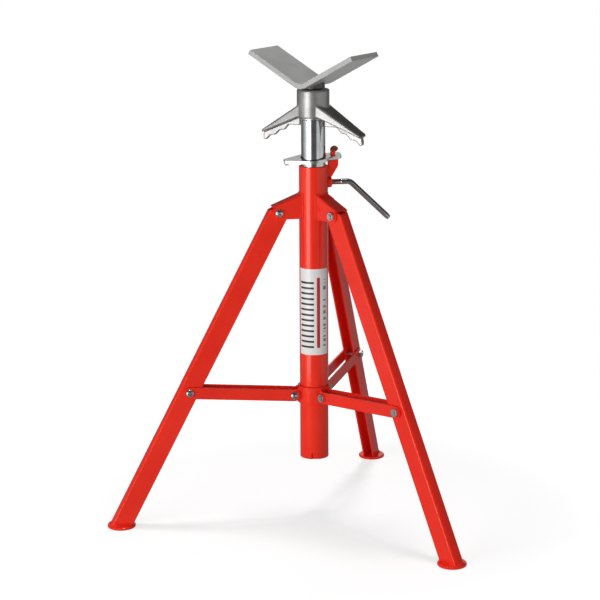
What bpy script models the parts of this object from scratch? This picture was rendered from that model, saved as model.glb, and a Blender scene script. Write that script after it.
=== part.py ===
"""Folding tripod jack stand for pipe: a clamped telescopic post with a screw jack and a V head.

Sizes are in metres and +Z is up. The origin is on the floor under the column's axis, and +X is the
side of the clamp lever. Each leg is drawn in a frame of its own that stands on its hinge bolt, with
+X pointing outward and +Y to the side of the bolt heads.
"""
from math import acos, asin, atan2, cos, hypot, pi, radians, sin, tan

import bmesh
import bpy
from mathutils import Matrix

# Clearances
SEAT_GAP = 0.0003
SLIDE_GAP = 0.00045
CUT_OVERRUN = 0.004
WELD_DISTANCE = 0.000003

# Column: the painted base tube and the plated post inside it
TUBE_RADIUS = 0.02415
TUBE_ABOVE_HINGE = 0.0760
TUBE_LENGTH = 0.5027
TUBE_RIM_CHAMFER = 0.0008
POST_RADIUS = 0.02015
POST_WALL = 0.0029
POST_CLEARANCE = 0.0008
POST_STAND_OUT = 0.0775
POST_LENGTH = 0.5346
TUBE_SIDES = 48

# Facets of the small curves
BOLT_SIDES = 16
BEND_PIECES = 4
EYE_PIECES = 12
LOCK_RING_PIECES = 14
WAVE_PIECES = 8

# Stop tabs pressed in at the tube's lower end
TAB_COUNT = 3
TAB_AZIMUTH = radians(-97)
TAB_WIDTH = 0.0110
TAB_HEIGHT = 0.0110
TAB_SLIT = 0.0012
TAB_SET_IN = 0.0016
TAB_ROOT = 0.0030

# Legs and their hinges
LEG_AZIMUTHS = {"left": pi, "front": -pi / 3, "rear": pi / 3}
LEG_ANGLE = radians(27.5)
LEG_WIDTH = 0.0205
LEG_DEPTH = 0.0329
LEG_WEB_OUT = 0.0165
LEG_SHEET = 0.0025
LEG_BEND_RADIUS = 0.0035
LEG_TOP_CLEARANCE = 0.0008
HINGE_RADIUS = 0.0599
HINGE_HEIGHT = 0.5311

# Hinge brackets: folded sheet, welded to the tube
BRACKET_SLOPE = radians(22.5)
BRACKET_SHEET = 0.0025
BRACKET_TOP_SHEET = 0.0030
BRACKET_RISE = 0.0136
BRACKET_REACH = 0.0062
BRACKET_EYE_RADIUS = 0.0108
BRACKET_BEND_RADIUS = 0.0028

# Feet: round plates welded under the legs
FOOT_RADIUS = 0.0238
FOOT_THICKNESS = 0.0050
FOOT_EDGE = 0.0010

# Braces, and the collar that slides on the tube
BRACE_LENGTH = 0.17892
BRACE_BAR_WIDTH = 0.0200
BRACE_BAR_SHEET = 0.0030
LEG_PIN_ALONG = 0.33776
LEG_PIN_INSET = 0.0015
COLLAR_PIVOT_RADIUS = 0.0362
COLLAR_WALL = 0.0034
COLLAR_HEIGHT = 0.0305
COLLAR_EDGE = 0.0006
EAR_SHEET = 0.0030
EAR_EYE_RADIUS = 0.0070
EAR_ROOT_HEIGHT = 0.0270

# Fasteners
BOLT_RADIUS = 0.0040
BOLT_HEAD_RADIUS = 0.0070
BOLT_HEAD_HEIGHT = 0.0044
BOLT_HEAD_LIP = 0.0010
BOLT_SOCKET_RADIUS = 0.0029
BOLT_SOCKET_DEPTH = 0.0022
NUT_HALF_WIDTH = 0.0065
NUT_HEIGHT = 0.0045
NUT_CHAMFER = 0.0009
THREAD_STAND_OUT = 0.0010
THREAD_END_CHAMFER = 0.0006

# Post clamp: a welded nut on the tube and a bent screw lever
CLAMP_BELOW_RIM = 0.0288
CLAMP_NUT_HALF_WIDTH = 0.0080
CLAMP_NUT_REACH = 0.0302
LEVER_RADIUS = 0.00475
LEVER_BEND_START = 0.0620
LEVER_BEND_RADIUS = 0.0140
LEVER_BEND_ANGLE = radians(44)
LEVER_TAIL = 0.0925
LEVER_END_CHAMFER = 0.0008

# Drop lock: a tilting plate round the post, held by a hook on the tube
LOCK_SHEET = 0.0052
LOCK_TILT = radians(4.6)
LOCK_ROLL = radians(5.7)
LOCK_PIVOT_RADIUS = 0.0412
LOCK_PIVOT_RISE = 0.0128
LOCK_HOLE_CLEARANCE = 0.0013
LOCK_RING_WIDTH = 0.0062
LOCK_TOE_REACH = 0.0465
LOCK_TOE_HALF_WIDTH = 0.0132
LOCK_TOE_CORNER = 0.0080
LOCK_TAIL_REACH = 0.0490
LOCK_TAIL_HALF_WIDTH = 0.0066
LOCK_TAIL_DROP = 0.0080
LOCK_TAIL_LIP = 0.0065
LOCK_SLOT_CLEARANCE = 0.0012
LOCK_EDGE = 0.0007
HOOK_SHEET = 0.0100
HOOK_NECK_INNER = 0.0296
HOOK_NECK_OUTER = 0.0356
HOOK_HEAD_RADIUS = 0.0349
HOOK_HEAD_RISE = 0.0134
HOOK_HEAD_LENGTH = 0.0063
HOOK_HEAD_THICKNESS = 0.0045
HOOK_HEAD_LEAN = radians(32)
HOOK_BELLY_DROP = 0.0030
HOOK_FOOT_REACH = 0.0300
HOOK_WELD_DROP = 0.0021
HOOK_STAND_OFF = 0.0006
HOOK_EDGE = 0.0012

# Jack: thrust washer, wing nut casting and screw
WASHER_RADIUS = 0.0215
WASHER_THICKNESS = 0.0026
HUB_RADIUS = 0.0270
HUB_HEIGHT = 0.0463
HUB_CHAMFER = 0.0014
SPIGOT_LENGTH = 0.0120
SPIGOT_CLEARANCE = 0.00035
SCREW_RADIUS = 0.0127
SCREW_CLEARANCE = 0.0005
SCREW_LENGTH = 0.1751
SCREW_STOP_RADIUS = 0.0160
SCREW_STOP_HEIGHT = 0.0080
SCREW_STOP_EDGE = 0.0010

# Arms of the wing nut, drawn outward from the hub along +X
ARM_AZIMUTH = radians(-37.2)
ARM_REACH = 0.0905
ARM_ROOT = 0.0145
ARM_ROOT_HALF_WIDTH = 0.0225
ARM_TIP_HALF_WIDTH = 0.0125
ARM_TOP_BELOW_HUB = 0.0309
ARM_DROOP = radians(32.5)
ARM_ROOT_THICKNESS = 0.0205
ARM_TIP_THICKNESS = 0.0045
ARM_EDGE = 0.0012
RIB_THICKNESS = 0.0090
RIB_POST_GAP = 0.0021
RIB_BELOW_HUB = 0.0148
RIB_FLAT_END = 0.0440
RIB_FIRST_BUMP = 0.0520
RIB_BUMP_PITCH = 0.0173
RIB_BUMPS = 3
RIB_FIRST_BUMP_DROP = 0.0240
RIB_SLOPE = radians(28.5)
RIB_SCALLOP = 0.0034
RIB_NOSE = 0.0042

# V head
HEAD_AZIMUTH = radians(45.8)
HEAD_STAND_OFF = 0.0023
BOSS_RADIUS = 0.0195
BOSS_FOOT = 0.00130
V_SHEET = 0.00794
V_WIDTH = 0.0815
V_HALF_SPAN = 0.0970
V_WING_ANGLE = radians(28.4)
V_BEND_RADIUS = 0.0160
V_EDGE = 0.0007

# Places that follow from the sizes above
TUBE_TOP = HINGE_HEIGHT + TUBE_ABOVE_HINGE
TUBE_BOTTOM = TUBE_TOP - TUBE_LENGTH
TUBE_BORE = POST_RADIUS + POST_CLEARANCE
POST_TOP = TUBE_TOP + POST_STAND_OUT
POST_BOTTOM = POST_TOP - POST_LENGTH
LEG_HALF_WIDTH = LEG_WIDTH / 2
BRACKET_HALF_WIDTH = LEG_HALF_WIDTH + SEAT_GAP + BRACKET_SHEET
LEG_TOP_ROOM = BRACKET_RISE - BRACKET_TOP_SHEET - LEG_TOP_CLEARANCE
BAR_INNER_FACE = LEG_HALF_WIDTH + SEAT_GAP
BAR_OUTER_FACE = BAR_INNER_FACE + BRACE_BAR_SHEET
COLLAR_BORE = TUBE_RADIUS + SLIDE_GAP
COLLAR_RADIUS = COLLAR_BORE + COLLAR_WALL
HOLE_RADIUS = BOLT_RADIUS + SEAT_GAP
WELD_RADIUS = TUBE_RADIUS + SEAT_GAP
LEG_PIN_X = LEG_PIN_ALONG * sin(LEG_ANGLE) - LEG_PIN_INSET * cos(LEG_ANGLE)
LEG_PIN_Z = -LEG_PIN_ALONG * cos(LEG_ANGLE) - LEG_PIN_INSET * sin(LEG_ANGLE)
BRACE_RUN = HINGE_RADIUS + LEG_PIN_X - COLLAR_PIVOT_RADIUS
BRACE_SLOPE = acos(BRACE_RUN / BRACE_LENGTH)
COLLAR_PIVOT_HEIGHT = HINGE_HEIGHT + LEG_PIN_Z - BRACE_LENGTH * sin(BRACE_SLOPE)
CLAMP_HEIGHT = TUBE_TOP - CLAMP_BELOW_RIM
HOOK_FOOT_HEIGHT = CLAMP_HEIGHT + CLAMP_NUT_HALF_WIDTH / cos(pi / 6) + SEAT_GAP
LOCK_PIVOT_HEIGHT = TUBE_TOP + LOCK_PIVOT_RISE
WASHER_BOTTOM = POST_TOP + SEAT_GAP
HUB_BOTTOM = WASHER_BOTTOM + WASHER_THICKNESS + SEAT_GAP
HUB_TOP = HUB_BOTTOM + HUB_HEIGHT
BOSS_BOTTOM = HUB_TOP + HEAD_STAND_OFF
V_UNDERSIDE = BOSS_BOTTOM + BOSS_FOOT + SEAT_GAP
SCREW_BOTTOM = BOSS_BOTTOM - SEAT_GAP - SCREW_LENGTH
SPIGOT_RADIUS = POST_RADIUS - POST_WALL - SPIGOT_CLEARANCE
LOCK_HOLE_RADIUS = POST_RADIUS + LOCK_HOLE_CLEARANCE


def clear_scene():
    for item in list(bpy.data.objects):
        bpy.data.objects.remove(item, do_unlink=True)


def collection(name):
    group = bpy.data.collections.new(name)
    bpy.context.scene.collection.children.link(group)
    return group


def material(name, colour, roughness, metallic):
    surface = bpy.data.materials.new(name)
    surface.use_nodes = True
    shader = surface.node_tree.nodes["Principled BSDF"]
    shader.inputs["Base Color"].default_value = (*colour, 1)
    shader.inputs["Roughness"].default_value = roughness
    shader.inputs["Metallic"].default_value = metallic
    surface.diffuse_color = (*colour, 1)
    return surface


clear_scene()
STAND = collection("pipe_jack_stand")
CUTTERS = collection("cutters")
RED = material("red_paint", (0.80, 0.045, 0.02), 0.35, 0.0)
ZINC = material("zinc_plate", (0.62, 0.64, 0.64), 0.25, 1.0)
CAST = material("cast_grey", (0.40, 0.39, 0.38), 0.45, 0.9)
STEEL = material("steel_grey", (0.42, 0.42, 0.41), 0.45, 0.8)


# Small helpers for outlines
def arc(centre, radius, start, end, pieces):
    """Points along an arc, with both ends."""
    span = end - start
    return [
        (centre[0] + radius * cos(angle), centre[1] + radius * sin(angle))
        for angle in (start + span * i / pieces for i in range(pieces + 1))
    ]


def circle(centre, radius, sides=BOLT_SIDES):
    return arc(centre, radius, 0, 2 * pi * (sides - 1) / sides, sides - 1)


def turn(points, angle):
    """Turns outline points about the origin."""
    return [(x * cos(angle) - y * sin(angle), x * sin(angle) + y * cos(angle)) for x, y in points]


# Makers of meshes and objects
def add(name, mesh, surface, parent=None, place=(0, 0, 0), rotation=(0, 0, 0)):
    """Puts a mesh into the stand as a named sub-part."""
    item = bpy.data.objects.new(name, mesh)
    STAND.objects.link(item)
    item.parent = parent
    item.location = place
    item.rotation_euler = rotation
    if not mesh.materials:
        mesh.materials.append(surface)
    return item


def add_cutter(name, mesh, parent=None, place=(0, 0, 0), rotation=(0, 0, 0)):
    item = bpy.data.objects.new(name, mesh)
    CUTTERS.objects.link(item)
    item.parent = parent
    item.location = place
    item.rotation_euler = rotation
    item.hide_render = True
    item.display_type = "WIRE"
    return item


def pivot(name, place, azimuth=0, parent=None):
    """An empty on a joint's axis."""
    item = bpy.data.objects.new(name, None)
    STAND.objects.link(item)
    item.parent = parent
    item.location = place
    item.rotation_euler = (0, 0, azimuth)
    item.empty_display_size = HUB_RADIUS
    return item


def boolean(item, cutter, operation="DIFFERENCE"):
    step = item.modifiers.new(cutter.name, "BOOLEAN")
    step.operation = operation
    step.object = cutter
    return step


def bevel(item, width, segments=1, angle=radians(40)):
    step = item.modifiers.new("edges", "BEVEL")
    step.width = width
    step.segments = segments
    step.limit_method = "ANGLE"
    step.angle_limit = angle
    return step


def smooth(mesh):
    mesh.shade_smooth()
    mesh.set_sharp_from_angle(angle=radians(35))
    return mesh


def curve_mesh(name, curve):
    """The closed mesh of a curve, with its caps welded on."""
    holder = bpy.data.objects.new(name, curve)
    CUTTERS.objects.link(holder)
    bpy.context.view_layer.update()
    evaluated = holder.evaluated_get(bpy.context.evaluated_depsgraph_get())
    mesh = bpy.data.meshes.new_from_object(evaluated)
    shape = bmesh.new()
    shape.from_mesh(mesh)
    bmesh.ops.remove_doubles(shape, verts=shape.verts, dist=WELD_DISTANCE)
    bmesh.ops.recalc_face_normals(shape, faces=shape.faces)
    shape.to_mesh(mesh)
    shape.free()
    mesh.name = name
    bpy.data.objects.remove(holder)
    return smooth(mesh)


def flat(name, outlines, low, high, upright=True):
    """A plate from closed outlines, the inner ones being holes.

    Upright, an outline is in X and Z and the plate lies between low and high in Y. Otherwise the
    outline is in X and Y and the plate lies between low and high in Z.
    """
    curve = bpy.data.curves.new(name, "CURVE")
    curve.dimensions = "2D"
    curve.fill_mode = "BOTH"
    curve.extrude = (high - low) / 2
    for outline in outlines:
        line = curve.splines.new("POLY")
        line.points.add(len(outline) - 1)
        for point, (x, y) in zip(line.points, outline):
            point.co = (x, y, 0, 1)
        line.use_cyclic_u = True
    mesh = curve_mesh(name, curve)
    middle = (low + high) / 2
    if upright:
        mesh.transform(Matrix.Translation((0, middle, 0)) @ Matrix.Rotation(pi / 2, 4, "X"))
    else:
        mesh.transform(Matrix.Translation((0, 0, middle)))
    return mesh


def rod(name, points, radius):
    """A round bar along a line of points, with flat ends."""
    curve = bpy.data.curves.new(name, "CURVE")
    curve.dimensions = "3D"
    curve.bevel_depth = radius
    curve.bevel_resolution = BEND_PIECES
    curve.use_fill_caps = True
    line = curve.splines.new("POLY")
    line.points.add(len(points) - 1)
    for point, place in zip(line.points, points):
        point.co = (*place, 1)
    return curve_mesh(name, curve)


def profile_mesh(name, points, closed):
    mesh = bpy.data.meshes.new(name)
    edges = [(i, i + 1) for i in range(len(points) - 1)]
    if closed:
        edges.append((len(points) - 1, 0))
    mesh.from_pydata([(r, 0, z) for r, z in points], edges, [])
    return mesh


def turned(item, sides):
    """Turns an object's profile, which runs down its outer side, about its own Z."""
    step = item.modifiers.new("turn", "SCREW")
    step.axis = "Z"
    step.angle = 2 * pi
    step.screw_offset = 0
    step.steps = sides
    step.render_steps = sides
    step.use_merge_vertices = True
    step.merge_threshold = WELD_DISTANCE
    step.use_normal_calculate = False
    return item


def cylinder(name, radius, low, high, sides=BOLT_SIDES):
    mesh = bpy.data.meshes.new(name)
    shape = bmesh.new()
    middle = Matrix.Translation((0, 0, (low + high) / 2))
    size = {"segments": sides, "radius1": radius, "radius2": radius, "depth": high - low}
    bmesh.ops.create_cone(shape, cap_ends=True, matrix=middle, **size)
    shape.to_mesh(mesh)
    shape.free()
    return smooth(mesh)


def box(name, low, high):
    mesh = bpy.data.meshes.new(name)
    shape = bmesh.new()
    size = [b - a for a, b in zip(low, high)]
    centre = [(a + b) / 2 for a, b in zip(low, high)]
    matrix = Matrix.Translation(centre) @ Matrix.Diagonal((*size, 1))
    bmesh.ops.create_cube(shape, size=1, matrix=matrix)
    shape.to_mesh(mesh)
    shape.free()
    return mesh


def channel_outline(sides, heights, sheets, bend):
    """The section of a folded channel: its web at the top, its two walls down to the bottom."""
    near, far = sides
    top, bottom = heights
    side_sheet, top_sheet = sheets
    inner = bend - side_sheet
    outer_near = arc((near + bend, top - bend), bend, pi, pi / 2, BEND_PIECES)
    outer_far = arc((far - bend, top - bend), bend, pi / 2, 0, BEND_PIECES)
    low_far = [(far, bottom), (far - side_sheet, bottom)]
    centre_far = (far - side_sheet - inner, top - top_sheet - inner)
    centre_near = (near + side_sheet + inner, top - top_sheet - inner)
    inner_far = arc(centre_far, inner, 0, pi / 2, BEND_PIECES)
    inner_near = arc(centre_near, inner, pi / 2, pi, BEND_PIECES)
    low_near = [(near + side_sheet, bottom), (near, bottom)]
    return outer_near + outer_far + low_far + inner_far + inner_near + low_near


# Column
def make_tube():
    ring = [
        (TUBE_BORE, TUBE_TOP),
        (TUBE_RADIUS - TUBE_RIM_CHAMFER, TUBE_TOP),
        (TUBE_RADIUS, TUBE_TOP - TUBE_RIM_CHAMFER),
        (TUBE_RADIUS, TUBE_BOTTOM + TUBE_RIM_CHAMFER),
        (TUBE_RADIUS - TUBE_RIM_CHAMFER, TUBE_BOTTOM),
        (TUBE_BORE, TUBE_BOTTOM),
    ]
    tube = turned(add("base_tube", profile_mesh("base_tube", ring, True), RED), TUBE_SIDES)
    hole = cylinder("clamp_hole", LEVER_RADIUS + SEAT_GAP, 0, TUBE_RADIUS + CUT_OVERRUN)
    boolean(tube, add_cutter("clamp_hole", hole, place=(0, 0, CLAMP_HEIGHT), rotation=(0, pi / 2, 0)))
    half_slot = TAB_WIDTH / 2 + TAB_SLIT
    half_tab = TAB_WIDTH / 2
    slot_low = (TUBE_BORE - CUT_OVERRUN, -half_slot, TUBE_BOTTOM - CUT_OVERRUN)
    slot_high = (TUBE_RADIUS + CUT_OVERRUN, half_slot, TUBE_BOTTOM + TAB_HEIGHT)
    slot = box("tab_slot", slot_low, slot_high)
    tab_low = (TUBE_BORE - TAB_SET_IN, -half_tab, TUBE_BOTTOM)
    tab_high = (TUBE_RADIUS - TAB_SET_IN, half_tab, TUBE_BOTTOM + TAB_HEIGHT + TAB_ROOT)
    tab = box("stop_tab", tab_low, tab_high)
    for number in range(TAB_COUNT):
        azimuth = TAB_AZIMUTH + 2 * pi * number / TAB_COUNT
        boolean(tube, add_cutter(f"tab_slot_{number + 1}", slot, rotation=(0, 0, azimuth)))
        boolean(tube, add_cutter(f"stop_tab_{number + 1}", tab, rotation=(0, 0, azimuth)), "UNION")
    return tube


def ring_profile(inner, outer, low, high, chamfer):
    return [
        (inner, high),
        (outer - chamfer, high),
        (outer, high - chamfer),
        (outer, low + chamfer),
        (outer - chamfer, low),
        (inner, low),
    ]


# Hinge brackets, legs and feet, in a leg's frame
def bracket_point(along, above):
    """A point given along the bracket's sloping top and square to it, from the hinge bolt."""
    return (
        along * cos(BRACKET_SLOPE) + above * sin(BRACKET_SLOPE),
        -along * sin(BRACKET_SLOPE) + above * cos(BRACKET_SLOPE),
    )


def make_bracket(side, frame):
    run = HINGE_RADIUS / cos(BRACKET_SLOPE) + CUT_OVERRUN
    outline = [
        bracket_point(-run, BRACKET_RISE + CUT_OVERRUN),
        bracket_point(BRACKET_REACH, BRACKET_RISE + CUT_OVERRUN),
        bracket_point(BRACKET_REACH, BRACKET_EYE_RADIUS + SEAT_GAP),
        *arc((0, 0), BRACKET_EYE_RADIUS, pi / 2 - BRACKET_SLOPE, -pi / 2, EYE_PIECES),
        (-HINGE_RADIUS, -BRACKET_EYE_RADIUS),
    ]
    heights = (BRACKET_RISE, -HINGE_RADIUS)
    sheets = (BRACKET_SHEET, BRACKET_TOP_SHEET)
    walls = (-BRACKET_HALF_WIDTH, BRACKET_HALF_WIDTH)
    section = channel_outline(walls, heights, sheets, BRACKET_BEND_RADIUS)
    sheet = flat(f"bracket_{side}", [section], -HINGE_RADIUS - CUT_OVERRUN, HINGE_RADIUS, upright=False)
    # the section's width goes to Y, its height to the slope's normal, its length along the slope
    lay = Matrix(((0, 0, 1, 0), (1, 0, 0, 0), (0, 1, 0, 0), (0, 0, 0, 1)))
    sheet.transform(Matrix.Rotation(BRACKET_SLOPE, 4, "Y") @ lay)
    bracket = add(f"bracket_{side}", sheet, RED, frame)
    side_shape = flat(f"bracket_side_{side}", [outline, circle((0, 0), HOLE_RADIUS)], -LEG_WIDTH, LEG_WIDTH)
    boolean(bracket, add_cutter(f"bracket_side_{side}", side_shape, frame), "INTERSECT")
    column = cylinder(f"bracket_seat_{side}", WELD_RADIUS, -HINGE_RADIUS, HINGE_RADIUS, TUBE_SIDES)
    straight = (0, 0, -frame.rotation_euler.z)
    seat = add_cutter(f"bracket_seat_{side}", column, frame, (-HINGE_RADIUS, 0, 0), straight)
    boolean(bracket, seat)
    return bracket


def make_leg(side, frame):
    out_reach = LEG_WEB_OUT + CUT_OVERRUN
    in_reach = LEG_DEPTH - LEG_WEB_OUT + CUT_OVERRUN
    foot_top = FOOT_THICKNESS + SEAT_GAP - HINGE_HEIGHT
    room = LEG_TOP_ROOM
    # where the leg's outer and inner limits meet the floor line and the bracket's underside
    out_low = (out_reach / cos(LEG_ANGLE) - foot_top * tan(LEG_ANGLE), foot_top)
    in_low = (-in_reach / cos(LEG_ANGLE) - foot_top * tan(LEG_ANGLE), foot_top)
    slant = BRACKET_SLOPE + LEG_ANGLE
    out_top = bracket_point((out_reach - room * sin(slant)) / cos(slant), room)
    # the top keeps its room under the bracket at every angle down to the folded one
    start = pi / 2 - BRACKET_SLOPE
    end = start + LEG_ANGLE
    crown = arc((0, 0), room, start, end, BEND_PIECES)
    flat_run = (in_reach + room * sin(BRACKET_SLOPE)) / cos(BRACKET_SLOPE)
    in_top = (room * cos(end) - flat_run * sin(end), room * sin(end) + flat_run * cos(end))
    outline = [out_low, out_top, *crown, in_top, in_low]
    length = (HINGE_HEIGHT + LEG_DEPTH) / cos(LEG_ANGLE)
    sides = (-LEG_HALF_WIDTH, LEG_HALF_WIDTH)
    sheets = (LEG_SHEET, LEG_SHEET)
    section = channel_outline(sides, (LEG_WEB_OUT, LEG_WEB_OUT - LEG_DEPTH), sheets, LEG_BEND_RADIUS)
    sheet = flat(f"leg_{side}", [section], -length, LEG_DEPTH, upright=False)
    # the section's width goes to Y, its web outward, its length along the leg
    lay = Matrix(((0, 1, 0, 0), (1, 0, 0, 0), (0, 0, 1, 0), (0, 0, 0, 1)))
    sheet.transform(Matrix.Rotation(-LEG_ANGLE, 4, "Y") @ lay)
    sheet.flip_normals()
    leg = add(f"leg_{side}", sheet, RED, frame)
    holes = [circle((0, 0), HOLE_RADIUS), circle((LEG_PIN_X, LEG_PIN_Z), HOLE_RADIUS)]
    side_shape = flat(f"leg_side_{side}", [outline, *holes], -LEG_WIDTH, LEG_WIDTH)
    boolean(leg, add_cutter(f"leg_side_{side}", side_shape, frame), "INTERSECT")
    return leg


def make_foot(side, frame):
    centre = (HINGE_HEIGHT - FOOT_THICKNESS) * tan(LEG_ANGLE)
    disc = profile_mesh(f"foot_{side}", ring_profile(0, FOOT_RADIUS, 0, FOOT_THICKNESS, FOOT_EDGE), False)
    return turned(add(f"foot_{side}", disc, RED, frame, (centre, 0, -HINGE_HEIGHT)), TUBE_SIDES // 2)


# Fasteners, drawn along +Z with the head or the nut at the top
def head_profile(low, shank_end):
    """A button head on a shank, down its outer side."""
    lip = low + BOLT_HEAD_LIP
    rise = BOLT_HEAD_HEIGHT - BOLT_HEAD_LIP
    dome = arc((0, 0), 1, pi / 2, 0, BEND_PIECES)
    return [(x * BOLT_HEAD_RADIUS, lip + z * rise) for x, z in dome] + [
        (BOLT_HEAD_RADIUS, low),
        (BOLT_RADIUS, low),
        (BOLT_RADIUS, shank_end + THREAD_END_CHAMFER),
        (BOLT_RADIUS - THREAD_END_CHAMFER, shank_end),
        (0, shank_end),
    ]


def make_bolt(name, frame, place, head_face, shank_end):
    """A bolt along a frame's Y: the head's seat at head_face, the shank's end at shank_end."""
    to_far = (-pi / 2, 0, 0)
    profile = profile_mesh(name, head_profile(head_face, shank_end), False)
    bolt = turned(add(name, profile, ZINC, frame, place, to_far), BOLT_SIDES)
    top = head_face + BOLT_HEAD_HEIGHT
    socket = cylinder(f"{name}_socket", BOLT_SOCKET_RADIUS, top - BOLT_SOCKET_DEPTH, top + CUT_OVERRUN, 6)
    boolean(bolt, add_cutter(f"{name}_socket", socket, frame, place, to_far))
    return bolt


def make_nut(name, frame, place, seat, shank_start=None):
    """A nut on a frame's near side, seated at -seat. With a shank's start, it holds a bolt's end."""
    to_near = (pi / 2, 0, 0)
    high = seat + NUT_HEIGHT
    corner = NUT_HALF_WIDTH / cos(pi / 6)
    nut = add(name, cylinder(name, corner, seat, high, 6), ZINC, frame, place, to_near)
    cone = [
        (0, high + SEAT_GAP),
        (corner - NUT_CHAMFER, high + SEAT_GAP),
        (corner - NUT_CHAMFER, high),
        (corner + SEAT_GAP, high - NUT_CHAMFER),
        (corner + SEAT_GAP, seat - SEAT_GAP),
        (0, seat - SEAT_GAP),
    ]
    cone_mesh = profile_mesh(f"{name}_chamfer", cone, False)
    chamfer = turned(add_cutter(f"{name}_chamfer", cone_mesh, frame, place, to_near), BOLT_SIDES)
    boolean(nut, chamfer, "INTERSECT")
    if shank_start is None:
        hole = cylinder(f"{name}_hole", HOLE_RADIUS, seat - CUT_OVERRUN, high + CUT_OVERRUN)
        boolean(nut, add_cutter(f"{name}_hole", hole, frame, place, to_near))
    else:
        shank = cylinder(f"{name}_shank", BOLT_RADIUS, shank_start, high + THREAD_STAND_OUT)
        boolean(nut, add_cutter(f"{name}_shank", shank, frame, place, to_near), "UNION")
    return nut


def make_hinge_fasteners(side, frame):
    seat = BRACKET_HALF_WIDTH + SEAT_GAP
    make_bolt(f"hinge_bolt_{side}", frame, (0, 0, 0), seat, -seat - NUT_HEIGHT - THREAD_STAND_OUT)
    make_nut(f"hinge_nut_{side}", frame, (0, 0, 0), seat)


def make_leg_pin(side, frame):
    """The brace bolt's length inside the leg, flush with both walls."""
    pin = cylinder(f"leg_pin_{side}", BOLT_RADIUS, -LEG_HALF_WIDTH, LEG_HALF_WIDTH)
    return add(f"leg_pin_{side}", pin, ZINC, frame, (LEG_PIN_X, 0, LEG_PIN_Z), (pi / 2, 0, 0))


# Collar and braces
def make_collar(centre):
    body = cylinder("collar", COLLAR_RADIUS, -COLLAR_HEIGHT / 2, COLLAR_HEIGHT / 2, TUBE_SIDES)
    collar = add("collar", body, RED, centre)
    bevel(collar, COLLAR_EDGE)
    root = EAR_ROOT_HEIGHT / 2
    # the ear's straight edges run from its root to touch the round eye
    stand_out = COLLAR_PIVOT_RADIUS - COLLAR_BORE
    eye_start = pi - atan2(root, stand_out) - acos(EAR_EYE_RADIUS / hypot(stand_out, root))
    outline = [
        (COLLAR_BORE - CUT_OVERRUN, -root),
        (COLLAR_BORE, -root),
        *arc((COLLAR_PIVOT_RADIUS, 0), EAR_EYE_RADIUS, -eye_start, eye_start, EYE_PIECES),
        (COLLAR_BORE, root),
        (COLLAR_BORE - CUT_OVERRUN, root),
    ]
    hole = circle((COLLAR_PIVOT_RADIUS, 0), HOLE_RADIUS)
    for side, azimuth in LEG_AZIMUTHS.items():
        for wall, low in (("near", -LEG_HALF_WIDTH), ("far", LEG_HALF_WIDTH - EAR_SHEET)):
            ear = flat(f"ear_{wall}_{side}", [outline, hole], low, low + EAR_SHEET)
            cutter = add_cutter(f"ear_{wall}_{side}", ear, centre, rotation=(0, 0, azimuth))
            boolean(collar, cutter, "UNION")
    bore = cylinder("collar_bore", COLLAR_BORE, -COLLAR_HEIGHT, COLLAR_HEIGHT, TUBE_SIDES)
    boolean(collar, add_cutter("collar_bore", bore, centre))
    return collar


def make_brace(side, frame):
    half = BRACE_BAR_WIDTH / 2
    outline = [
        *arc((0, 0), half, pi / 2, 3 * pi / 2, EYE_PIECES),
        *arc((BRACE_LENGTH, 0), half, -pi / 2, pi / 2, EYE_PIECES),
    ]
    holes = [circle((0, 0), HOLE_RADIUS), circle((BRACE_LENGTH, 0), HOLE_RADIUS)]
    for wall, low in (("near", -BAR_OUTER_FACE), ("far", BAR_INNER_FACE)):
        bar = flat(f"brace_{wall}_{side}", [outline, *holes], low, low + BRACE_BAR_SHEET)
        add(f"brace_{wall}_{side}", bar, RED, frame, rotation=(0, -BRACE_SLOPE, 0))
    leg_end = (BRACE_LENGTH * cos(BRACE_SLOPE), 0, BRACE_LENGTH * sin(BRACE_SLOPE))
    make_bolt(f"brace_bolt_{side}", frame, leg_end, BAR_OUTER_FACE + SEAT_GAP, BAR_INNER_FACE)
    make_nut(f"brace_nut_{side}", frame, leg_end, BAR_OUTER_FACE + SEAT_GAP, BAR_INNER_FACE)


def make_collar_fasteners(side, centre, azimuth):
    frame = pivot(f"collar_bolt_axis_{side}", (0, 0, 0), azimuth, centre)
    place = (COLLAR_PIVOT_RADIUS, 0, 0)
    seat = BAR_OUTER_FACE + SEAT_GAP
    make_bolt(f"collar_bolt_{side}", frame, place, seat, -seat - NUT_HEIGHT - THREAD_STAND_OUT)
    make_nut(f"collar_nut_{side}", frame, place, seat)


# Post clamp and drop lock
def make_clamp():
    corner = CLAMP_NUT_HALF_WIDTH / cos(pi / 6)
    across = (0, pi / 2, 0)
    place = (0, 0, CLAMP_HEIGHT)
    hexagon = cylinder("clamp_nut", corner, 0, CLAMP_NUT_REACH, 6)
    # one corner stands up
    hexagon.transform(Matrix.Rotation(pi / 6, 4, "Z"))
    nut = add("clamp_nut", hexagon, RED, None, place, across)
    hole = cylinder("clamp_nut_hole", LEVER_RADIUS + SEAT_GAP, -CUT_OVERRUN, CLAMP_NUT_REACH + CUT_OVERRUN)
    boolean(nut, add_cutter("clamp_nut_hole", hole, None, place, across))
    column = cylinder("clamp_nut_seat", WELD_RADIUS, -TUBE_RADIUS, TUBE_RADIUS, TUBE_SIDES)
    boolean(nut, add_cutter("clamp_nut_seat", column, None, place))


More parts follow.
